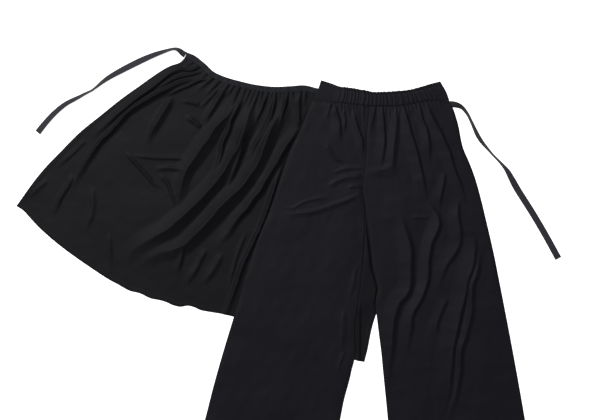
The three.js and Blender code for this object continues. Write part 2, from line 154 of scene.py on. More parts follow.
def plan(top, foot, start, end, across, down):
    """Where the cloth between four seam lines lies: grid[down, across] of x and y."""
    top, foot, start, end = (curve_through(rows) for rows in (top, foot, start, end))
    u, v = across[None, :, None], down[:, None, None]
    t, f, s, e = top(across)[None], foot(across)[None], start(down)[:, None], end(down)[:, None]
    corners = ((1 - u) * (1 - v) * t[:, :1] + u * (1 - v) * t[:, -1:]
               + (1 - u) * v * f[:, :1] + u * v * f[:, -1:])
    return (1 - v) * t + v * f + (1 - u) * s + u * e - corners


def closer_at_ends(count, width):
    """Shares from 0 to 1, even but for a few close to each end, where the cloth turns over."""
    near = np.array(EDGE_STEPS) / width
    return np.concatenate([near[:-1], np.linspace(near[-1], 1 - near[-1], count), 1 - near[-2::-1]])


def soft_step(low, high, value):
    """0 up to the low value and 1 from the high one on, with an eased step between."""
    t = np.clip((value - low) / (high - low), 0, 1)
    return t * t * (3 - 2 * t)


def ripple(x, y, wave, seed, directions=7, shortest=0.7, longest=1.5):
    """Soft uneven waves, mostly from -1 to 1: plain waves added up, each in its own direction and of its
    own length, from the shortest to the longest share of the one given."""
    chance = np.random.default_rng(seed)
    total = np.zeros_like(x)
    for _ in range(directions):
        turn, phase = chance.uniform(0, 2 * math.pi, 2)
        length = wave * chance.uniform(shortest, longest)
        total += np.sin((x * math.cos(turn) + y * math.sin(turn)) * 2 * math.pi / length + phase)
    return total / directions ** 0.5


def swells(x, y, wave, seed, high, shown):
    """Low swells of cloth that isn't pulled tight: the tops of a ripple."""
    return high * np.clip(ripple(x, y, wave, seed) + shown, 0, None)


def hemmed(depth, edge):
    """How thick the cloth is, where a hem of some depth is turned under along an edge."""
    return CLOTH + HEM_EXTRA * (1 - soft_step(depth - HEM_STEP, depth + HEM_STEP, edge))


def beyond(closed, x, y, tiny=1e-9):
    """How far points are outside a closed outline, or 0 inside it."""
    nearest = np.full(x.shape, np.inf)
    inside = np.zeros(x.shape, bool)
    for (ax, ay), (bx, by) in zip(closed, np.roll(closed, -1, axis=0)):
        dx, dy = bx - ax, by - ay
        t = np.clip(((x - ax) * dx + (y - ay) * dy) / (dx * dx + dy * dy + tiny), 0, 1)
        nearest = np.minimum(nearest, np.hypot(x - ax - t * dx, y - ay - t * dy))
        if abs(dy) > tiny:
            inside ^= ((ay > y) != (by > y)) & (x < ax + (y - ay) * dx / dy)
    return np.where(inside, 0, nearest)


def nearest_on(line, x, y):
    """How far points are from a line, on which side of it (below 0 is its right), and at what share of
    its length it is nearest to them."""
    best = np.full(x.shape, np.inf)
    side = np.zeros_like(x)
    along = np.zeros_like(x)
    for i, ((ax, ay), (bx, by)) in enumerate(zip(line[:-1], line[1:])):
        dx, dy = bx - ax, by - ay
        t = np.clip(((x - ax) * dx + (y - ay) * dy) / (dx * dx + dy * dy), 0, 1)
        off = np.hypot(x - ax - t * dx, y - ay - t * dy)
        closer = off < best
        best = np.where(closer, off, best)
        side = np.where(closer, dx * (y - ay) - dy * (x - ax), side)
        along = np.where(closer, (i + t) / (len(line) - 1), along)
    return best, side, along


CREST_POINTS = 36
CREST_WANDERS = 0.6  # how far a crest strays from its line, and in waves of what length
CREST_WAVE = 50
FLANK_MARGIN = 1.2  # how much of the cloth round a crest is worked out: this share of its wider flank
LEAST_FLANK = 8
FLANK_VARIES = 0.08  # the share by which a flank's reach varies, how fast, and how far the next is ahead
FLANK_TURNS = 8
FLANK_AHEAD = 2.1
HOLLOW_RIGHT = 1.3  # how hollow each flank is, where 1 would be straight
HOLLOW_LEFT = 1.1
CREST_EXTRA = 0.06  # share of its height that a pinched crest stands higher, and how wide the pinch is
CREST_PINCH = 4
RISEN = 0.2  # shares of its length where a fold has reached its height, and where that starts to fall
FALLING = 0.6
LOWER_SHARE = 0.35  # of the lower of two folds, added where they meet


def creased(folds, x, y, seed):
    """The height of soft folds. Each row is a crest's line, the reach of its right and left flank going
    along it, and its height. Where folds meet, the higher one shows and a valley is left between."""
    x, y = (x + CREST_WANDERS * ripple(x, y, CREST_WAVE, seed),
            y + CREST_WANDERS * ripple(x, y, CREST_WAVE, seed + 1))
    total = np.zeros_like(x)
    for number, (crest, right, left, high) in enumerate(folds):
        line = curve_through(crest)(np.linspace(0, 1, CREST_POINTS))
        reach = FLANK_MARGIN * max(right, left, LEAST_FLANK)
        low, top = line.min(0) - reach, line.max(0) + reach
        near = (x > low[0]) & (x < top[0]) & (y > low[1]) & (y < top[1])
        off, side, along = nearest_on(line, x[near], y[near])
        uneven = 1 + FLANK_VARIES * np.sin(along * FLANK_TURNS + number * FLANK_AHEAD)
        across = np.clip(off / (np.where(side < 0, right, left) * uneven), 0, 1)
        slope = ((1 - across) ** np.where(side < 0, HOLLOW_RIGHT, HOLLOW_LEFT)
                 + CREST_EXTRA * np.exp(-(off / CREST_PINCH) ** 2))
        taper = soft_step(0, RISEN, along) * (1 - soft_step(FALLING, 1, along))
        fold = high * taper * slope
        total[near] = np.maximum(total[near], fold) + LOWER_SHARE * np.minimum(total[near], fold)
    return total


GATHER_LEFT = 6.0  # how wide a gather's ridge is to its left and to its right, and how much that varies
GATHER_RIGHT = 3.2
GATHER_VARIES = 0.2
GATHER_SWAYS = 1.2  # how far its foot sways sideways
GATHER_ABOVE = (-6, -1)  # between how far above the seam it rises
GATHER_KEEPS = 0.15  # the share of its run over which it keeps its height


def gathered(rows, seam, x, y):
    """The small ridges below a gathered seam. Each row is the x where one starts, how far it leans
    sideways for each mm down, how far it runs, and its height."""
    line = curve_through(seam)(np.linspace(0, 1, 400))
    total = np.zeros_like(x)
    for number, (start, lean, reach, high) in enumerate(rows):
        tall = math.hypot(lean, 1)
        right, down = x - start, np.interp(start, line[:, 0], line[:, 1]) - y
        along = (down + right * lean) / tall
        sway = GATHER_SWAYS * np.sin(along / 11 + number * 1.7) * along / reach
        off = (right - down * lean) / tall + sway
        wide = np.where(off < 0, GATHER_LEFT, GATHER_RIGHT) * (1 + GATHER_VARIES * math.sin(number * 2.3))
        fade = soft_step(*GATHER_ABOVE, along) * (1 - soft_step(GATHER_KEEPS * reach, reach, along))
        total = np.maximum(total, high * fade * np.exp(-(off / wide) ** 2))
    return total


def runs(grid):
    """How far each point of a grid is, along the cloth, from its top, foot, start and end edges."""
    across = np.pad(np.cumsum(np.linalg.norm(np.diff(grid, axis=1), axis=2), axis=1), ((0, 0), (1, 0)))
    down = np.pad(np.cumsum(np.linalg.norm(np.diff(grid, axis=0), axis=2), axis=0), ((1, 0), (0, 0)))
    return down, down[-1:] - down, across, across[:, -1:] - across


def sewn(name, upper, lower, grain):
    """A closed thin shell between two grids of points in mm, with its thread directions as a UV map."""
    rows, columns = upper.shape[:2]
    points = np.concatenate([upper.reshape(-1, 3), lower.reshape(-1, 3)]) * MM
    index = np.arange(rows * columns).reshape(rows, columns)
    under = index + rows * columns
    faces = [
        np.stack([index[:-1, :-1], index[1:, :-1], index[1:, 1:], index[:-1, 1:]], -1),
        np.stack([under[:-1, :-1], under[:-1, 1:], under[1:, 1:], under[1:, :-1]], -1),
        np.stack([under[:-1, 0], under[1:, 0], index[1:, 0], index[:-1, 0]], -1),
        np.stack([index[:-1, -1], index[1:, -1], under[1:, -1], under[:-1, -1]], -1),
        np.stack([index[0, :-1], index[0, 1:], under[0, 1:], under[0, :-1]], -1),
        np.stack([under[-1, :-1], under[-1, 1:], index[-1, 1:], index[-1, :-1]], -1)]
    faces = np.concatenate([f.reshape(-1, 4) for f in faces])
    mesh = bpy.data.meshes.new(name)
    mesh.from_pydata(points.tolist(), [], faces.tolist())
    mesh.polygons.foreach_set("use_smooth", np.ones(len(faces), bool))
    threads = mesh.uv_layers.new(name="grain")
    corners = np.tile(grain.reshape(-1, 2), (2, 1))[faces.ravel()] * MM
    threads.data.foreach_set("uv", corners.ravel())
    piece = bpy.data.objects.new(name, mesh)
    bpy.context.collection.objects.link(piece)
    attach(piece, "root")
    return piece


def cloth_piece(name, place, under, thick):
    """A cloth shell on a plan, its edges turned over; returns it with the grid of its upper points."""
    top, foot, start, end = runs(place)
    edge = np.minimum.reduce([top, foot, start, end])
    turn = 0.5 * thick * (1 - np.sqrt(1 - (1 - np.clip(edge / EDGE_STEPS[-1], 0, 1)) ** 2))
    upper = np.dstack([place, under + thick - turn])
    lower = np.dstack([place, under + turn])
    grain = np.dstack([start, top])
    return sewn(name, upper, lower, grain), upper


class Shade:
    """A value on its way through a finish. An expression on it adds Math nodes."""

    def __init__(self, finish, socket):
        self.finish = finish
        self.socket = socket

    def worked(self, operation, *values):
        return self.finish.node("ShaderNodeMath", {"operation": operation}, dict(enumerate(values)))

    def __add__(self, other):
        return self.worked("ADD", self, other)

    def __mul__(self, other):
        return self.worked("MULTIPLY", self, other)

    def sine(self):
        return self.worked("SINE", self)

    __radd__ = __add__
    __rmul__ = __mul__


class Finish:
    """A material made of nodes."""

    def __init__(self, name):
        self.material = bpy.data.materials.new(name)
        self.material.use_nodes = True
        self.tree = self.material.node_tree
        self.tree.nodes.clear()

    def node(self, kind, settings, sockets, result=0):
        made = self.tree.nodes.new(kind)
        for key, value in settings.items():
            setattr(made, key, value)
        for key, value in sockets.items():
            if isinstance(value, Shade):
                self.tree.links.new(value.socket, made.inputs[key])
            else:
                made.inputs[key].default_value = value
        return Shade(self, made.outputs[result]) if len(made.outputs) else None

    def mixed(self, share, first, second):
        """One colour turning into another."""
        return self.node("ShaderNodeMix", {"data_type": "RGBA"}, {0: share, 6: first, 7: second}, 2)


RIB_GAP = 0.0009  # from one of the twill's diagonal ribs to the next, in metres
WEAVE_RELIEF = 0.00005
SLUBS = 900  # to a metre: uneven threads, fine crumpling, and patches that took the dye differently
CRUMPLES = 55
PATCHES = 9
THREAD_STRETCH = 0.35  # slubs and crumples are this much closer across the cloth than down it
PATCH_SHARE = 0.6  # of the dye's differences, with the rest from thread to thread
DYE_VARIES = 0.2
ROUGHNESS = 0.56
ROUGHNESS_VARIES = 0.14
GLOSS = 0.07
SHEEN_TINT = (0.85, 0.92, 1.0, 1)


def black_twill(name, colour, sheen, crumple):
    """Fine twill, dyed black: diagonal ribs, threads that differ a little, and a soft sheen."""
    finish = Finish(name)
    grain = finish.node("ShaderNodeUVMap", {"uv_map": "grain"}, {})
    along = finish.node("ShaderNodeSeparateXYZ", {}, {"Vector": grain}, "X")
    down = finish.node("ShaderNodeSeparateXYZ", {}, {"Vector": grain}, "Y")
    ribs = ((along + down) * (2 * math.pi / RIB_GAP)).sine()
    threads = finish.node("ShaderNodeMapping", {}, {"Vector": grain, "Scale": (1, THREAD_STRETCH, 1)})
    slub = finish.node("ShaderNodeTexNoise", {}, {"Vector": threads, "Scale": SLUBS, "Detail": 2})
    creases = finish.node("ShaderNodeTexNoise", {}, {"Vector": threads, "Scale": CRUMPLES, "Detail": 3})
    patchy = finish.node("ShaderNodeTexNoise", {}, {"Vector": grain, "Scale": PATCHES, "Detail": 2})
    dark = (*((1 - DYE_VARIES) * c for c in colour), 1)
    light = (*((1 + DYE_VARIES) * c for c in colour), 1)
    dye = finish.mixed(patchy * PATCH_SHARE + slub * (1 - PATCH_SHARE), dark, light)
    weave = finish.node("ShaderNodeBump", {}, {
        "Height": ribs * 0.5 + slub, "Strength": 0.35, "Distance": WEAVE_RELIEF})
    crumpled = finish.node("ShaderNodeBump", {}, {
        "Height": creases, "Strength": 1.0, "Distance": crumple * MM, "Normal": weave})
    surface = finish.node("ShaderNodeBsdfPrincipled", {}, {
        "Base Color": dye, "Roughness": ROUGHNESS + patchy * ROUGHNESS_VARIES, "Normal": crumpled,
        "Specular IOR Level": GLOSS, "Sheen Weight": sheen, "Sheen Roughness": 0.4,
        "Sheen Tint": SHEEN_TINT})
    finish.node("ShaderNodeOutputMaterial", {}, {"Surface": surface})
    return finish.material


PUSHED_UP = 3.6  # how far the skirt stands up between the legs
BESIDE_RIGHT_LEG = (-0.3, 0.9)  # from how far off the right leg's edge it rises, and where it is up
VALLEY = 7  # how far before the left leg it is down again, how much less further down, and how steeply
VALLEY_NARROWER = 3
VALLEY_WALL = 2
NARROWER_DOWN = (-100, -40)  # the y of these changes along the legs, in which it also starts and ends
PUSHED_FROM = (-190, -130)
PUSHED_TO = (120, 146)


def between_legs(x, y):
    """How far the skirt stands up between the legs: pushed up against the right leg, and dropping into a
    deep narrow valley before the left one."""
    right, left = (curve_through(rows)(np.linspace(0, 1, 200)) for rows in (INSEAM_RIGHT, INSEAM_LEFT))
    from_right = x - np.interp(-y, -right[:, 1], right[:, 0])
    from_left = np.interp(-y, -left[:, 1], left[:, 0]) - x
    valley = VALLEY - VALLEY_NARROWER * (1 - soft_step(*NARROWER_DOWN, y))
    return (PUSHED_UP * soft_step(*BESIDE_RIGHT_LEG, from_right)
            * soft_step(valley - VALLEY_WALL, valley, from_left)
            * soft_step(*PUSHED_FROM, y) * (1 - soft_step(*PUSHED_TO, y)))


# crest line, reach of the right flank and of the left, height
SKIRT_FOLDS = [
    ([(-252, 450), (-294, 438), (-310, 428), (-335, 407), (-352, 395), (-377, 378), (-402, 357),
      (-423, 340), (-435, 330), (-456, 311), (-477, 292), (-504, 265)], 20, 5, 7),
    ([(-222, 455), (-246, 446), (-276, 448), (-310, 436)], 8, 4, 4.4),
    ([(-212, 444), (-238, 437), (-274, 429), (-318, 409), (-340, 393)], 6, 4, 5.4),
    ([(-206, 432), (-226, 428), (-266, 418), (-299, 403), (-328, 389), (-366, 368), (-391, 351),
      (-403, 343), (-416, 328), (-432, 309), (-453, 289), (-474, 268), (-491, 245), (-503, 226),
      (-524, 193), (-532, 180), (-545, 155), (-556, 116)], 5, 13, 9.5),
    ([(-196, 426), (-222, 420), (-262, 404), (-296, 388), (-322, 374)], 6, 5, 5.6),
    ([(-289, 384), (-307, 355), (-324, 328), (-339, 301), (-349, 284), (-355, 256)], 15, 14, 6.4),
    ([(-222, 360), (-246, 366), (-272, 371)], 5, 7, 3.6),
    ([(-218, 304), (-238, 318), (-262, 334)], 7, 10, 4.4),
    ([(-414, 244), (-391, 220), (-370, 197), (-353, 180), (-341, 164), (-316, 150)], 5, 6, 5),
    ([(-250, 224), (-300, 226), (-345, 228), (-402, 235)], 7, 5, 3.6),
    ([(-258, 196), (-300, 203), (-342, 200)], 7, 9, 3.8),
    ([(-326, 188), (-304, 162), (-292, 131), (-287, 94)], 6, 5, 4.4),
    ([(-178, 402), (-196, 380), (-212, 363), (-226, 352)], 6, 4, 3.4),
    ([(-158, 399), (-177, 374), (-193, 349), (-207, 322), (-214, 300)], 15, 9, 5.5),
    ([(-124, 388), (-140, 352), (-155, 331), (-174, 313), (-190, 294), (-202, 275), (-218, 253),
      (-233, 231), (-249, 210), (-262, 185), (-270, 157), (-275, 120), (-279, 76)], 30, 22, 10.5),
    ([(-114, 391), (-124, 369), (-133, 347), (-146, 322), (-152, 300), (-158, 284), (-166, 266),
      (-170, 244), (-175, 222), (-183, 195), (-194, 160)], 12, 9, 7.5),
    ([(-84, 385), (-92, 362), (-103, 330), (-111, 300), (-121, 275), (-130, 250), (-146, 225),
      (-161, 197), (-174, 178), (-196, 153), (-221, 125), (-249, 98), (-274, 75), (-300, 52),
      (-329, 35), (-364, 15), (-394, -10), (-424, -60)], 30, 25, 12.5),
    ([(-98, 312), (-112, 284), (-124, 234), (-133, 209), (-146, 178), (-160, 132)], 14, 10, 7.5),
    ([(-60, 384), (-66, 362), (-76, 336), (-88, 306)], 8, 5, 4.5),
    ([(-38, 384), (-40, 360), (-46, 334), (-55, 312), (-70, 285), (-84, 262), (-94, 236),
      (-110, 196)], 14, 8, 7),
    ([(-12, 382), (-18, 352), (-26, 335), (-36, 315), (-46, 300), (-52, 284), (-61, 262),
      (-68, 238), (-79, 213), (-93, 191), (-108, 169), (-127, 147), (-152, 125), (-171, 106),
      (-190, 84), (-209, 62), (-239, 32), (-259, 12), (-290, -2), (-334, -15), (-396, -60)],
     28, 26, 14),
    ([(-6, 384), (-12, 358), (-19, 333), (-28, 290)], 8, 6, 6),
    ([(22, 387), (22, 350), (24, 322), (18, 290)], 16, 6, 5.5),
    ([(30, 316), (13, 287), (-2, 266), (-18, 241), (-30, 219), (-43, 197), (-55, 178), (-65, 163),
      (-74, 144), (-93, 122), (-105, 103), (-119, 88), (-139, 62), (-159, 32), (-194, -6)],
     24, 13, 11),
    ([(-8, 234), (-24, 196), (-44, 130), (-66, 67), (-95, 7), (-114, -33), (-138, -103), (-158, -158),
      (-188, -250)], 12, 9, 8.5),
    ([(-104, 46), (-112, 32), (-128, -10), (-142, -60), (-154, -120)], 8, 4, 3),
    ([(-168, -8), (-186, -45), (-218, -92)], 16, 10, 3.4),
    ([(-258, 22), (-270, -20), (-279, -66)], 14, 8, 5),
    ([(-206, 4), (-230, -42), (-262, -96)], 14, 10, 3.8),
    ([(-492, 156), (-492, 100), (-510, 40)], 12, 10, 2.8),
    ([(-538, 190), (-550, 162), (-572, 126), (-592, 80)], 12, 7, 4.5),
    ([(-506, 274), (-534, 246), (-584, 198)], 9, 5, 3),
    ([(-602, 172), (-620, 158), (-656, 122)], 10, 5, 2.2),
    ([(-450, 40), (-449, 2), (-445, -52)], 8, 7, 2.6),
    ([(171, -120), (172, -150), (172.5, -205), (172, -245), (171, -330)], 3.5, 6, 4.6),
]
# x where each starts, its lean, how far it runs, height
SKIRT_GATHERS = [
    (-240, -1.6, 34, 1.8), (-226, -1.5, 44, 2.4), (-206, -1.3, 60, 3.0), (-191, -1.2, 60, 3.2),
    (-174, -1.0, 60, 3.4), (-162, -0.9, 40, 2.0), (-152, -0.75, 70, 3.6), (-139, -0.7, 40, 2.4),
    (-125, -0.45, 80, 4.0), (-110, -0.45, 40, 2.4), (-98, -0.4, 60, 3.8), (-87, -0.4, 80, 3.6),
    (-77, -0.4, 80, 4.2), (-68, -0.2, 90, 4.4), (-54, -0.35, 70, 3.4), (-44, -0.2, 36, 2.2),
    (-34, -0.15, 90, 4.6), (-25, 0.1, 34, 2.8), (-14, -0.2, 50, 2.6), (-4, -0.2, 80, 4.4),
    (6, 0.15, 50, 3.4), (18, 0, 36, 2.4), (27, 0, 70, 4.2), (40, -0.1, 50, 3.0),
]
SKIRT_DROP = 620
SKIRT_ROWS = 180
SHOWN_SHARE = 0.64  # of its width, from the front edge to where the right leg covers it at the hem
BETWEEN_SHARE = 0.86  # from where it shows again between the legs
SHOWN_WIDTH = 440
BETWEEN_WIDTH = 120
SHOWN_COLUMNS = 178
COVERED_COLUMNS = 10
BETWEEN_COLUMNS = 62
UNDER_STRIP = 1  # how far its edge runs up under the strip
# painted shade: the skirt is the legs' cloth, but its colour is made darker than theirs to even out the
# lamp's stronger light on the upper left
SKIRT_TONE_WITH_PAINTED_SHADE = (0.0028, 0.0029, 0.0041)
ends = len(EDGE_STEPS)
across = np.concatenate([
    closer_at_ends(SHOWN_COLUMNS, SHOWN_WIDTH)[:-ends] * SHOWN_SHARE,
    np.linspace(SHOWN_SHARE, BETWEEN_SHARE, COVERED_COLUMNS)[:-1],
    BETWEEN_SHARE + closer_at_ends(BETWEEN_COLUMNS, BETWEEN_WIDTH)[ends:] * (1 - BETWEEN_SHARE)])
down = closer_at_ends(SKIRT_ROWS, SKIRT_DROP)
skirt_top = beside(SKIRT_WAIST, STRIP_WIDTH - UNDER_STRIP)
skirt_place = plan(skirt_top, SKIRT_HEM, [skirt_top[0], *SKIRT_FRONT_EDGE[1:]],
                   [skirt_top[-1], *SKIRT_BACK_EDGE[1:]], across, down)
x, y = skirt_place[..., 0], skirt_place[..., 1]
_, from_foot, from_start, from_end = runs(skirt_place)
lifted = (creased(SKIRT_FOLDS, x, y, seed=3)
          + gathered(SKIRT_GATHERS, skirt_top, x, y)
          + swells(x, y, wave=120, seed=11, high=0.8, shown=0.4)
          + swells(x, y, wave=38, seed=12, high=0.18, shown=0.2))
hem_edge = np.minimum.reduce([from_foot, from_start, from_end])
loose = soft_step(FLAT_BESIDE_LEG, FULL_BESIDE_LEG, beyond(trouser_outline, x, y))
skirt_under = lifted * loose + between_legs(x, y)
skirt, skirt_upper = cloth_piece("skirt", skirt_place, skirt_under, hemmed(HEM, hem_edge))
skirt.data.materials.append(black_twill("skirt_twill_painted_shade", SKIRT_TONE_WITH_PAINTED_SHADE, sheen=0.010, crumple=0.45))
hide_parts("skirt_panel")

# The skirt's strip: a narrow band folded from the same cloth, which holds the skirt's gathers and is
# stitched along both edges. It runs on behind the trousers, and its two ends go on as the ties.
STRIP = 1.4
STRIP_LENGTH = 685
STRIP_COLUMNS = 260
STRIP_ROWS = 7
STRIP_UP = 0.3  # how far it lies off the surface, and how much more where the trousers don't press it
STRIP_LOOSE = 0.5
STRIP_UNEVEN = 0.25  # of that, in ripples and over the skirt's gathers
PRESSED_TO = 12  # how far beside the trousers it is held down
# painted light: the strip is the skirt's cloth, but its colour is made lighter for the light its raised
# fold catches
STRIP_TONE_WITH_PAINTED_LIGHT = (0.0066, 0.0070, 0.0090)
across = closer_at_ends(STRIP_COLUMNS, STRIP_LENGTH)
down = closer_at_ends(STRIP_ROWS, STRIP_WIDTH)
strip_foot = beside(SKIRT_WAIST, STRIP_WIDTH)
strip_place = plan(SKIRT_WAIST, strip_foot, [SKIRT_WAIST[0], strip_foot[0]],
                   [SKIRT_WAIST[-1], strip_foot[-1]], across, down)
x, y = strip_place[..., 0], strip_place[..., 1]
seen = soft_step(0, PRESSED_TO, beyond(trouser_outline, x, y))
strip_gathers = [(start, lean, STRIP_WIDTH, high) for start, lean, _, high in SKIRT_GATHERS]
pulled = gathered(strip_gathers, SKIRT_WAIST, x, y)
strip_under = seen * (STRIP_LOOSE + STRIP_UNEVEN * ripple(x, y, wave=16, seed=21) + STRIP_UNEVEN * pulled)
strip, strip_upper = cloth_piece("skirt_strip", strip_place, strip_under + STRIP_UP, STRIP)
strip.data.materials.append(black_twill("strip_twill_painted_light", STRIP_TONE_WITH_PAINTED_LIGHT, sheen=0.04, crumple=0.3))
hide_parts("skirt_band")

# The stitches of the skirt and its strip: a machine's lockstitch in black polyester thread, which lies a
# little proud of the cloth. One row runs round the skirt's three hems, and one along each edge of the
# strip. The legs and the waistband are sewn with the same thread further down.
THREAD_BLACK = (0.004, 0.004, 0.005, 1)
HEM_SEAM = 1.5  # how far in from a hem's or a fold's edge each row of stitches runs
STRIP_SEAM = 1.6


def thread_finish():
    finish = Finish("thread")
    surface = finish.node("ShaderNodeBsdfPrincipled", {}, {
        "Base Color": THREAD_BLACK, "Roughness": 0.7, "Specular IOR Level": 0.15})
    finish.node("ShaderNodeOutputMaterial", {}, {"Surface": surface})
    return finish.material


THREAD = thread_finish()


def stitched(name, lines, pitch=3.0, stitch=2.3, thick=0.2, sides=5, proud=0.4):
    """Rows of stitches along lines of points in mm that lie on the cloth. Each is a short round thread
    with its two ends drawn in, and stands proud of the line by a share of its thickness."""
    rings = ((0, 0.35), (0.2, 1), (0.8, 1), (1, 0.35))
    starts, ends = [], []
    for line in lines:
        line = np.asarray(line, float)
        run = np.concatenate([[0], np.cumsum(np.linalg.norm(np.diff(line, axis=0), axis=1))])
        begin = np.arange(pitch / 2, run[-1] - stitch, pitch)
        for marks, place in ((starts, begin), (ends, begin + stitch)):
            marks.append(np.stack([np.interp(place, run, line[:, k]) for k in range(3)], -1))
    starts, ends = np.concatenate(starts), np.concatenate(ends)
    ahead = ends - starts
    flat = np.column_stack([-ahead[:, 1], ahead[:, 0], np.zeros(len(ahead))])
    flat /= np.linalg.norm(flat, axis=1)[:, None]
    points = []
    for share, fat in rings:
        up = np.array([0, 0, proud * thick * fat])
        for k in range(sides):
            turn = 2 * math.pi * k / sides
            out = flat * math.cos(turn) + np.array([0, 0, math.sin(turn)])
            points.append(starts + ahead * share + out * thick * fat + up)
    points = np.stack(points, 1)
    faces = []
    for ring in range(len(rings) - 1):
        for k in range(sides):
            a, b = ring * sides + k, ring * sides + (k + 1) % sides
            faces.append((a, b, b + sides, a + sides))
    count = points.shape[1]
    quads = (np.array(faces)[None] + np.arange(len(starts))[:, None, None] * count).reshape(-1, 4)
    caps = (np.array([range(sides)[::-1], range(count - sides, count)])[None]
            + np.arange(len(starts))[:, None, None] * count).reshape(-1, sides)
    mesh = bpy.data.meshes.new(name)
    mesh.from_pydata((points.reshape(-1, 3) * MM).tolist(), [], quads.tolist() + caps.tolist())
    mesh.polygons.foreach_set("use_smooth", np.ones(len(mesh.polygons), bool))
    piece = bpy.data.objects.new(name, mesh)
    piece.data.materials.append(THREAD)
    bpy.context.collection.objects.link(piece)
    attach(piece, "root")
    return piece


def along_edge(upper, distance, at):
    """The line on a cloth's upper face that runs a given distance from one of its edges. From its top or
    its foot that is found down each column, and from its sides along each row."""
    if distance[0, 0] == distance[0, -1] == 0 or distance[-1, 0] == distance[-1, -1] == 0:
        pairs = zip(np.moveaxis(distance, 1, 0), np.moveaxis(upper, 1, 0))
    else:
        pairs = zip(distance, upper)
    line = []
    for far, points in pairs:
        order = np.argsort(far)
        line.append([np.interp(at, far[order], points[order, k]) for k in range(3)])
    return line


stitched("skirt_stitches", [
    along_edge(skirt_upper, edge, HEM - HEM_SEAM) for edge in (from_foot, from_start, from_end)])
strip_top, strip_low, _, _ = runs(strip_place)
stitched("strip_stitches", [
    along_edge(strip_upper, edge, STRIP_SEAM) for edge in (strip_top, strip_low)])

# The ties: the strip's two free ends, folded and stitched like it. Each leaves the band flat, turns up
# on its edge within a few centimetres, twists as it goes, and ends in a straight cut turned in.
# x and y of the strip's middle, and how many degrees it is rolled out of flat
TIE_RIGHT = [
    (-260, 484.3, 0), (-267, 488.4, 25), (-273, 494, 52), (-281.5, 498, 62), (-289, 498.5, 62),
    (-309, 493.5, 46), (-339, 483.5, 28), (-372.5, 469.5, 8), (-416, 447.5, 14), (-456, 424, 34),
    (-484, 401.5, 58), (-492, 395.5, 62), (-509, 387, 56), (-523, 379.5, 46), (-560, 360.5, 32),
    (-590, 335.5, 22), (-615, 308, 16), (-629, 290.5, 8)]
TIE_LEFT = [
    (400, 361, 0), (409, 360.4, 10), (417, 358.6, 64), (430, 352, 68), (443, 336, 80), (453, 316, 82),
    (469, 282, 62), (478.5, 267, 66), (491, 252, 82), (508.5, 232, 88), (528, 212, 82),
    (542, 195, 62), (552.5, 177, 38), (568, 150, 16), (592.5, 112, 6), (609.5, 85, 4), (639, 35, 3),
    (671.5, -24, 3)]
TIE_THICK = 1.4
TIE_WIDTH = 16.5  # as it shows, with its rounded edges, in the same strip
TIE_ROWS = 230
TIE_COLUMNS = 9
TIE_TURNS = 60  # places where its roll is read, evened out over some of them
TIE_EVENED = 5
TIE_CUP = 0.6  # how far its middle was pressed out when it was folded, and how uneven that is
TIE_UNEVEN = 0.12
TIE_ROUND = 0.8  # how far in from its edges it is rounded
# painted light: the ties are the strip's cloth, but their colour is made several times lighter for the
# light they catch
TIE_TONE_WITH_PAINTED_LIGHT = (0.0165, 0.0170, 0.0200)
TIE_TWILL_PAINTED_LIGHT = black_twill("tie_twill_painted_light", TIE_TONE_WITH_PAINTED_LIGHT, sheen=0.02, crumple=0.3)


def rolled(rows, along):
    """How far a tie is rolled at each share of its length, in radians."""
    passed = np.concatenate([[0], np.cumsum(np.linalg.norm(np.diff(rows[:, :2], axis=0), axis=1))])
    even = np.linspace(0, 1, TIE_TURNS)
    turned = np.pad(np.interp(even, passed / passed[-1], rows[:, 2]), TIE_EVENED // 2, "edge")
    turned = np.convolve(turned, np.ones(TIE_EVENED) / TIE_EVENED, "valid")
    return np.radians(np.interp(along, even, turned))


def tie(name, rows, seed, node):
    """A flat strip along a line, rolled about it, with its low edge on the surface."""
    rows = np.array(rows, float)
    line = curve_through(rows[:, :2])
    along = closer_at_ends(TIE_ROWS, line.length)
    wide = closer_at_ends(TIE_COLUMNS, TIE_WIDTH) - 0.5
    middle = line(along)
    ahead = np.gradient(middle[:, :2], axis=0)
    ahead /= np.linalg.norm(ahead, axis=1)[:, None]
    sideways = np.column_stack([-ahead[:, 1], ahead[:, 0]])
    roll = rolled(rows, along)
    run = along * line.length
    height = TIE_WIDTH / 2 * np.sin(roll) + TIE_THICK / 2 * np.cos(roll)
    worn = ripple(*np.meshgrid(wide * STRIP_WIDTH, run), wave=22, seed=seed)
    cup = TIE_CUP * (1 - 4 * wide ** 2) + TIE_UNEVEN * worn
    edge = TIE_WIDTH * np.minimum(wide + 0.5, 0.5 - wide)
    turn = 1 - np.sqrt(1 - (1 - np.clip(edge / TIE_ROUND, 0, 1)) ** 2)
    level, tilt = np.cos(roll)[:, None], np.sin(roll)[:, None]
    faces = []
    for thick in (TIE_THICK / 2, -TIE_THICK / 2):
        out = thick * (1 - turn)[None] + cup * 0.5
        off = wide[None] * TIE_WIDTH * level - out * tilt
        up = height[:, None] + wide[None] * TIE_WIDTH * tilt + out * level
        flat = middle[:, None, :2] + off[..., None] * sideways[:, None]
        faces.append(np.dstack([flat, np.maximum(up, 0)]))
    upper, lower = faces[0][:, ::-1], faces[1][:, ::-1]
    grain = np.dstack(np.meshgrid(wide[::-1] * TIE_WIDTH, run))
    made = sewn(name, upper, lower, grain)
    made.data.materials.append(TIE_TWILL_PAINTED_LIGHT)
    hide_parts(node)


tie("tie_right_strap", TIE_RIGHT, 31, "tie_right")
tie("tie_left_strap", TIE_LEFT, 32, "tie_left")

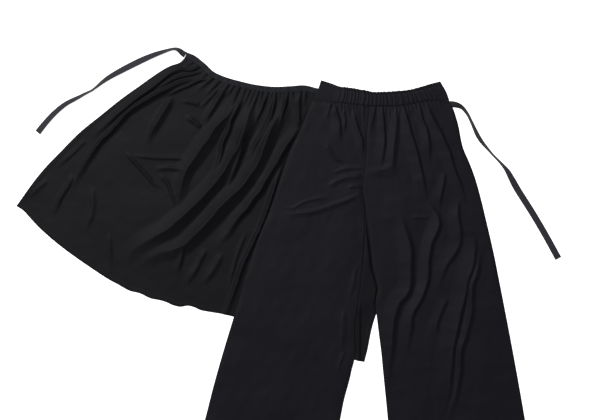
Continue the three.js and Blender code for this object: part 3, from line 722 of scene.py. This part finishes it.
# The back of each leg: a flat panel of the same cloth, sewn to the front down its side and its inseam. It
# lies on the skirt where that runs under it, and on the surface below and beside it.
LIFT = 2.0  # how far the skirt and its strip hold the trousers up
COMES_DOWN = (6, 60)  # between how far from the skirt the trousers come down to the surface
LEG_WIDTH = 330
LEG_LENGTH = 870
BACK_COLUMNS = 34
BACK_ROWS = 110
BACK_INSET = 0.002  # share of its width by which it is drawn in behind the front
LEG_BLACK = (0.0039, 0.0039, 0.0057)
LEG_SHEEN = 0.015
LEG_CRUMPLE = 0.4
WAIST_FOOT_RIGHT = [(58.5, 369.5), (95, 365.5), (133.5, 362), (167, 358), (201, 355)]
WAIST_FOOT_LEFT = [(201, 355), (240, 354), (278, 355.5), (318, 363), (348, 368), (376, 367), (401, 362)]
skirt_outline = outline(SKIRT_WAIST, SKIRT_BACK_EDGE, SKIRT_HEM[::-1], SKIRT_FRONT_EDGE[::-1])


def on_skirt(x, y):
    """How high the trousers lie, over the skirt and past its edge."""
    return LIFT * (1 - soft_step(*COMES_DOWN, beyond(skirt_outline, x, y)))


def leg_place(side, across, down):
    """The plan of a leg's panels, from the waist seam to the hem."""
    inner = [*CENTRE_FRONT, *(INSEAM_RIGHT if side == "right" else INSEAM_LEFT)]
    if side == "right":
        start, end, top = SIDE_RIGHT, inner, WAIST_FOOT_RIGHT
    else:
        start, end, top = inner, SIDE_LEFT, WAIST_FOOT_LEFT
    return plan([start[0], *top[1:-1], end[0]], [start[-1], end[-1]], start, end, across, down)


for side in ("right", "left"):
    across = closer_at_ends(BACK_COLUMNS, LEG_WIDTH)
    down = closer_at_ends(BACK_ROWS, LEG_LENGTH)
    place = leg_place(side, across, down)
    x, y = place[..., 0], place[..., 1]
    inset = place + (place.mean(axis=1, keepdims=True) - place) * BACK_INSET
    back, _ = cloth_piece(f"leg_back_{side}", inset, on_skirt(x, y), CLOTH)
    back.data.materials.append(black_twill(f"back_twill_{side}", LEG_BLACK, LEG_SHEEN, LEG_CRUMPLE))
    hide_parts(f"trouser_back_{side}")

# The front of each leg: a panel gathered into the waistband, with the crotch's creases and long soft folds
# down the thighs, stitched at the hem. The left leg was dragged a little across as it was laid down, so
# its folds are the deeper.
HEM_TURN = 22  # the leg hems, turned up and stitched
FRONT_ROWS = 310
FRONT_AIR = 0.25  # between the back and the front, and how much more their seam allowances hold it up
SEAM_SWELL = 0.3
SEAM_RUN = 4
FOLDS_FULL = 12  # how far in from the side seams the folds have their height
# crest line, reach of the right flank and of the left, height
LEG_FOLDS = {
    "right": [
        ([(101, 364), (98, 346), (94, 322)], 12, 5, 2.4),
        ([(109, 358), (118, 338), (123, 318), (125, 292), (127, 262)], 22, 7, 4.6),
        ([(135, 352), (137, 325), (138, 286)], 12, 5, 2.6),
        ([(158, 350), (165, 318), (173, 292), (180, 268), (184, 228)], 18, 6, 4.2),
        ([(88, 262), (100, 244), (114, 228), (144, 214)], 7, 6, 2.6),
        ([(186, 202), (142, 200), (120, 195), (100, 186)], 8, 6, 2),
        ([(184, 185), (146, 180), (122, 173), (104, 164), (88, 150)], 5, 13, 3.4),
        ([(182, 150), (166, 157), (154, 156), (142, 148)], 4, 5, 3),
        ([(182, 142), (150, 126), (100, 108), (76, 100), (50, 93), (12, 89), (-24, 86)], 6, 12, 3.6),
        ([(98, 130), (45, 121), (26, 112), (8, 103), (-24, 108)], 4, 6, 2),
        ([(168, -40), (163, -64), (157, -96), (149, -128)], 9, 4, 1.5),
        ([(134, -146), (132, -170), (131, -210), (127, -262)], 6, 13, 2.4),
        ([(138, -250), (132, -268), (119, -312)], 8, 4, 1.5),
    ],
    "left": [
        ([(209, 362), (206, 334), (197, 284)], 12, 7, 3.6),
        ([(227, 358), (233, 322), (236, 262), (231, 225), (226, 196)], 22, 6, 4.4),
        ([(268, 356), (266, 310), (260, 262), (257, 215), (253, 170)], 20, 12, 5),
        ([(279, 366), (289, 338), (299, 297), (308, 270), (316, 243), (323, 215), (330, 184),
          (338, 146), (342, 108)], 28, 6, 6),
        ([(318, 368), (328, 332), (341, 297), (347, 258), (349, 206)], 20, 6, 4.6),
        ([(336, 370), (346, 345), (366, 307), (384, 274), (397, 241), (404, 215), (416, 186),
          (431, 144), (440, 100)], 26, 7, 6.2),
        ([(262, 214), (240, 200), (214, 196), (192, 202)], 14, 24, 2.6),
        ([(352, 77), (322, 79), (300, 75)], 9, 5, 1.8),
        ([(268, 96), (280, 68), (298, 16), (302, -14), (302, -44), (299, -96), (290, -116),
          (274, -133), (265, -160), (259, -188), (256, -228), (251, -278), (246, -326), (242, -366)],
         32, 12, 6.5),
        ([(338, 128), (354, 102), (368, 84), (372, 60), (354, 14), (346, -28), (343, -78), (330, -120),
          (308, -160), (302, -190), (296, -240), (286, -290)], 26, 10, 7.5),
        ([(388, 196), (384, 166), (378, 138), (372, 92)], 22, 7, 4),
        ([(423, 132), (420, 88), (425, 40), (420, 0), (396, -34), (378, -78), (364, -116)], 30, 8, 4.8),
        ([(394, -118), (382, -150), (371, -176), (364, -222)], 24, 8, 3.6),
        ([(459, 50), (462, -6), (458, -40), (445, -78), (440, -108), (425, -168), (415, -213),
          (405, -278), (400, -343), (390, -388), (372, -436)], 42, 9, 6.4),
        ([(476, 6), (470, -40), (455, -93), (452, -130), (450, -168), (438, -214), (426, -258),
          (421, -328), (408, -388), (390, -446)], 12, 12, 7.4),
    ],
}
# x where each starts, its lean, how far down it runs, height
LEG_GATHERS = {
    "right": [
        (92, -0.05, 22, 0.9), (104, -0.1, 36, 1.6), (111, 0.2, 50, 2.0), (119, 0, 30, 1.4),
        (127, 0.1, 50, 2.0), (136, 0.05, 40, 1.7), (144, 0.15, 60, 1.9), (151, 0.1, 30, 1.5),
        (158, 0.2, 46, 1.9), (166, 0.2, 60, 2.1), (174, 0.1, 40, 1.8), (183, 0.05, 50, 1.8)],
    "left": [
        (207, -0.2, 50, 2.0), (214, -0.1, 60, 2.4), (222, 0.05, 40, 1.8), (231, 0.1, 70, 2.4),
        (240, 0, 36, 1.6), (249, 0, 50, 1.8), (257, -0.05, 36, 1.6), (266, -0.1, 60, 2.2),
        (275, -0.1, 36, 1.6), (284, 0.2, 60, 2.4), (293, 0.25, 40, 1.8), (303, 0.2, 36, 1.6),
        (312, 0.25, 46, 1.8), (322, 0.3, 60, 2.2), (331, 0.4, 40, 1.8), (341, 0.5, 70, 2.4),
        (351, 0.5, 40, 1.8), (361, 0.45, 30, 1.4), (372, 0.4, 24, 1.1)],
}
for side, columns, seed in (("right", 118, 50), ("left", 142, 54)):
    across = closer_at_ends(columns, LEG_WIDTH)
    down = closer_at_ends(FRONT_ROWS, LEG_LENGTH)
    place = leg_place(side, across, down)
    x, y = place[..., 0], place[..., 1]
    _, foot, start, end = runs(place)
    seam = WAIST_FOOT_RIGHT if side == "right" else WAIST_FOOT_LEFT
    inward = soft_step(0, FOLDS_FULL, np.minimum(start, end))
    swell = SEAM_SWELL * soft_step(0, SEAM_RUN, np.minimum(start, end))
    lifted = (creased(LEG_FOLDS[side], x, y, seed)
              + gathered(LEG_GATHERS[side], seam, x, y)
              + swells(x, y, wave=130, seed=seed + 1, high=0.8, shown=0.5)
              + swells(x, y, wave=40, seed=seed + 2, high=0.3, shown=0.2))
    under = on_skirt(x, y) + CLOTH + FRONT_AIR + swell + inward * lifted
    front, front_upper = cloth_piece(f"leg_front_{side}", place, under, hemmed(HEM_TURN, foot))
    front.data.materials.append(black_twill(f"front_twill_{side}", LEG_BLACK, LEG_SHEEN, LEG_CRUMPLE))
    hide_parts(f"trouser_front_{side}")
    hem_row = along_edge(front_upper, foot, HEM_TURN - HEM_SEAM)
    stitched(f"leg_stitches_{side}", [hem_row])

# The waistband: a casing round a wide elastic, which puckers the cloth between its two rows of stitches
# and leaves a small ruffle above them. It is smooth beside the side seams.
BAND = 1.5
BAND_AIR = 0.2  # between its back and its front
BAND_LENGTH = 345
BAND_DEPTH = 38
BAND_COLUMNS = 300
BAND_ROWS = 26
BAND_INSET = 0.003  # share of its length by which its back is drawn in behind the front
PUCKER = 8.5  # from one of its puckers to the next, more or less, and by what shares that varies
PUCKER_VARIES = (0.55, 1.5)
PUCKER_HIGH = 1.8  # how high they stand, and by what shares that varies
HIGH_VARIES = (0.5, 1.2)
PUCKERS = 60  # more than the band has room for
PUCKERED = 340  # the length they are spread over
PUCKER_SWAYS = 2.2  # how far they lean to and fro
PUCKER_ROUND = 0.6
PULLED_FROM = (0.12, 0.24)  # shares of its length, from the right and the left side, without puckers
PULLED_TO = (0.03, 0.13)
SEAM_AT = (0.2, 0.97)  # shares of its depth where its two rows of stitches draw it down, and how wide
SEAM_WIDE = 0.05
SEAM_FLATTENS = 0.4
SEAM_SINKS = 0.5
ELASTIC_SWELL = 0.7  # how far the elastic fills it out, from below its ruffle
RUFFLE_DEPTH = 0.1
RUFFLE = 1.5  # how far its upper edge waves up and down
TOP_ROW = 7.5  # from its upper edge to the upper row of stitches
across = closer_at_ends(BAND_COLUMNS, BAND_LENGTH)
down = closer_at_ends(BAND_ROWS, BAND_DEPTH)
waist_foot = [*WAIST_FOOT_RIGHT, *WAIST_FOOT_LEFT[1:]]
band_place = plan(WAIST_TOP, waist_foot, WAIST_SIDE_RIGHT, WAIST_SIDE_LEFT, across, down)
x = band_place[..., 0]
u, v = np.meshgrid(across, down)
back_place = band_place + (band_place.mean(axis=1, keepdims=True) - band_place) * BAND_INSET
waist_back, _ = cloth_piece("waist_back", back_place, np.full_like(x, LIFT), BAND)
reaching = u * PUCKERED + PUCKER_SWAYS * ripple(u * PUCKERED, v * 16, wave=40, seed=61)
chance = np.random.default_rng(64)
dips = np.cumsum(chance.uniform(*PUCKER_VARIES, PUCKERS)) * PUCKER
last = np.clip(np.searchsorted(dips, reaching), 1, len(dips) - 1)
between = np.clip((reaching - dips[last - 1]) / (dips[last] - dips[last - 1]), 0, 1)
depth = chance.uniform(*HIGH_VARIES, PUCKERS)[last]
pulled_in = soft_step(*PULLED_FROM, u) * soft_step(*PULLED_TO, 1 - u)
puff = np.sin(math.pi * between) ** PUCKER_ROUND * depth
row_mark = sum(np.exp(-((v - at) / SEAM_WIDE) ** 2) for at in SEAM_AT)
filled = np.clip((v - RUFFLE_DEPTH) / (1 - RUFFLE_DEPTH), 0, 1)
swell = ELASTIC_SWELL * np.sin(math.pi * filled) ** 0.8
puckers = pulled_in * PUCKER_HIGH * puff * (1 - SEAM_FLATTENS * row_mark)
band_up = swell + puckers - SEAM_SINKS * row_mark
band_place[..., 1] += pulled_in * (1 - v) ** 6 * RUFFLE * (puff - 0.5)
waist_front, waist_upper = cloth_piece(
    "waist_front", band_place, LIFT + BAND + BAND_AIR + np.clip(band_up, 0, None), BAND)
for piece, node in ((waist_back, "waistband_back"), (waist_front, "waistband_front")):
    piece.data.materials.append(bpy.data.materials["front_twill_left"])
    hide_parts(node)
waist_top, waist_low, _, _ = runs(band_place)
stitched("waist_stitches", [
    along_edge(waist_upper, waist_top, TOP_ROW), along_edge(waist_upper, waist_low, HEM_SEAM)])

# The surface and the light. The garment lies on a sheet of white that glows a little, like a light
# table, so that no shadow shows on it. One large soft lamp high at the upper left models the folds, and
# a pale sky all round fills them.
FLOOR_SIZE = 8
FLOOR_WHITE = (0.45, 0.45, 0.45, 1)
WHITE = (1, 1, 1, 1)
FLOOR_GLOW = 0.95
LAMP_WATTS = 1960
LAMP_SIZE = 4.5
LAMP_PLACE = (-4.0, 4.6, 9.0)
LAMP_AIM = (0, 0.1, 0)
SKY_STRENGTH = 0.25
bpy.ops.mesh.primitive_plane_add(size=FLOOR_SIZE, location=(0, 0, 0))
floor = bpy.context.object
floor.name = "surface"
floor_finish = Finish("surface_white")
board = floor_finish.node("ShaderNodeBsdfPrincipled", {}, {
    "Base Color": FLOOR_WHITE, "Roughness": 0.9, "Specular IOR Level": 0.1,
    "Emission Color": WHITE, "Emission Strength": FLOOR_GLOW})
floor_finish.node("ShaderNodeOutputMaterial", {}, {"Surface": board})
floor.data.materials.append(floor_finish.material)

key = bpy.data.lights.new("key", "AREA")
key.energy = LAMP_WATTS
key.size = LAMP_SIZE
key_lamp = bpy.data.objects.new("key", key)
key_lamp.location = LAMP_PLACE
key_lamp.rotation_euler = (Vector(LAMP_AIM) - key_lamp.location).to_track_quat("-Z", "Y").to_euler()
bpy.context.collection.objects.link(key_lamp)
sky = bpy.data.worlds.new("sky")
bpy.context.scene.world = sky
sky.use_nodes = True
sky.node_tree.nodes["Background"].inputs["Color"].default_value = WHITE
sky.node_tree.nodes["Background"].inputs["Strength"].default_value = SKY_STRENGTH
bpy.context.scene.view_settings.view_transform = "Standard"
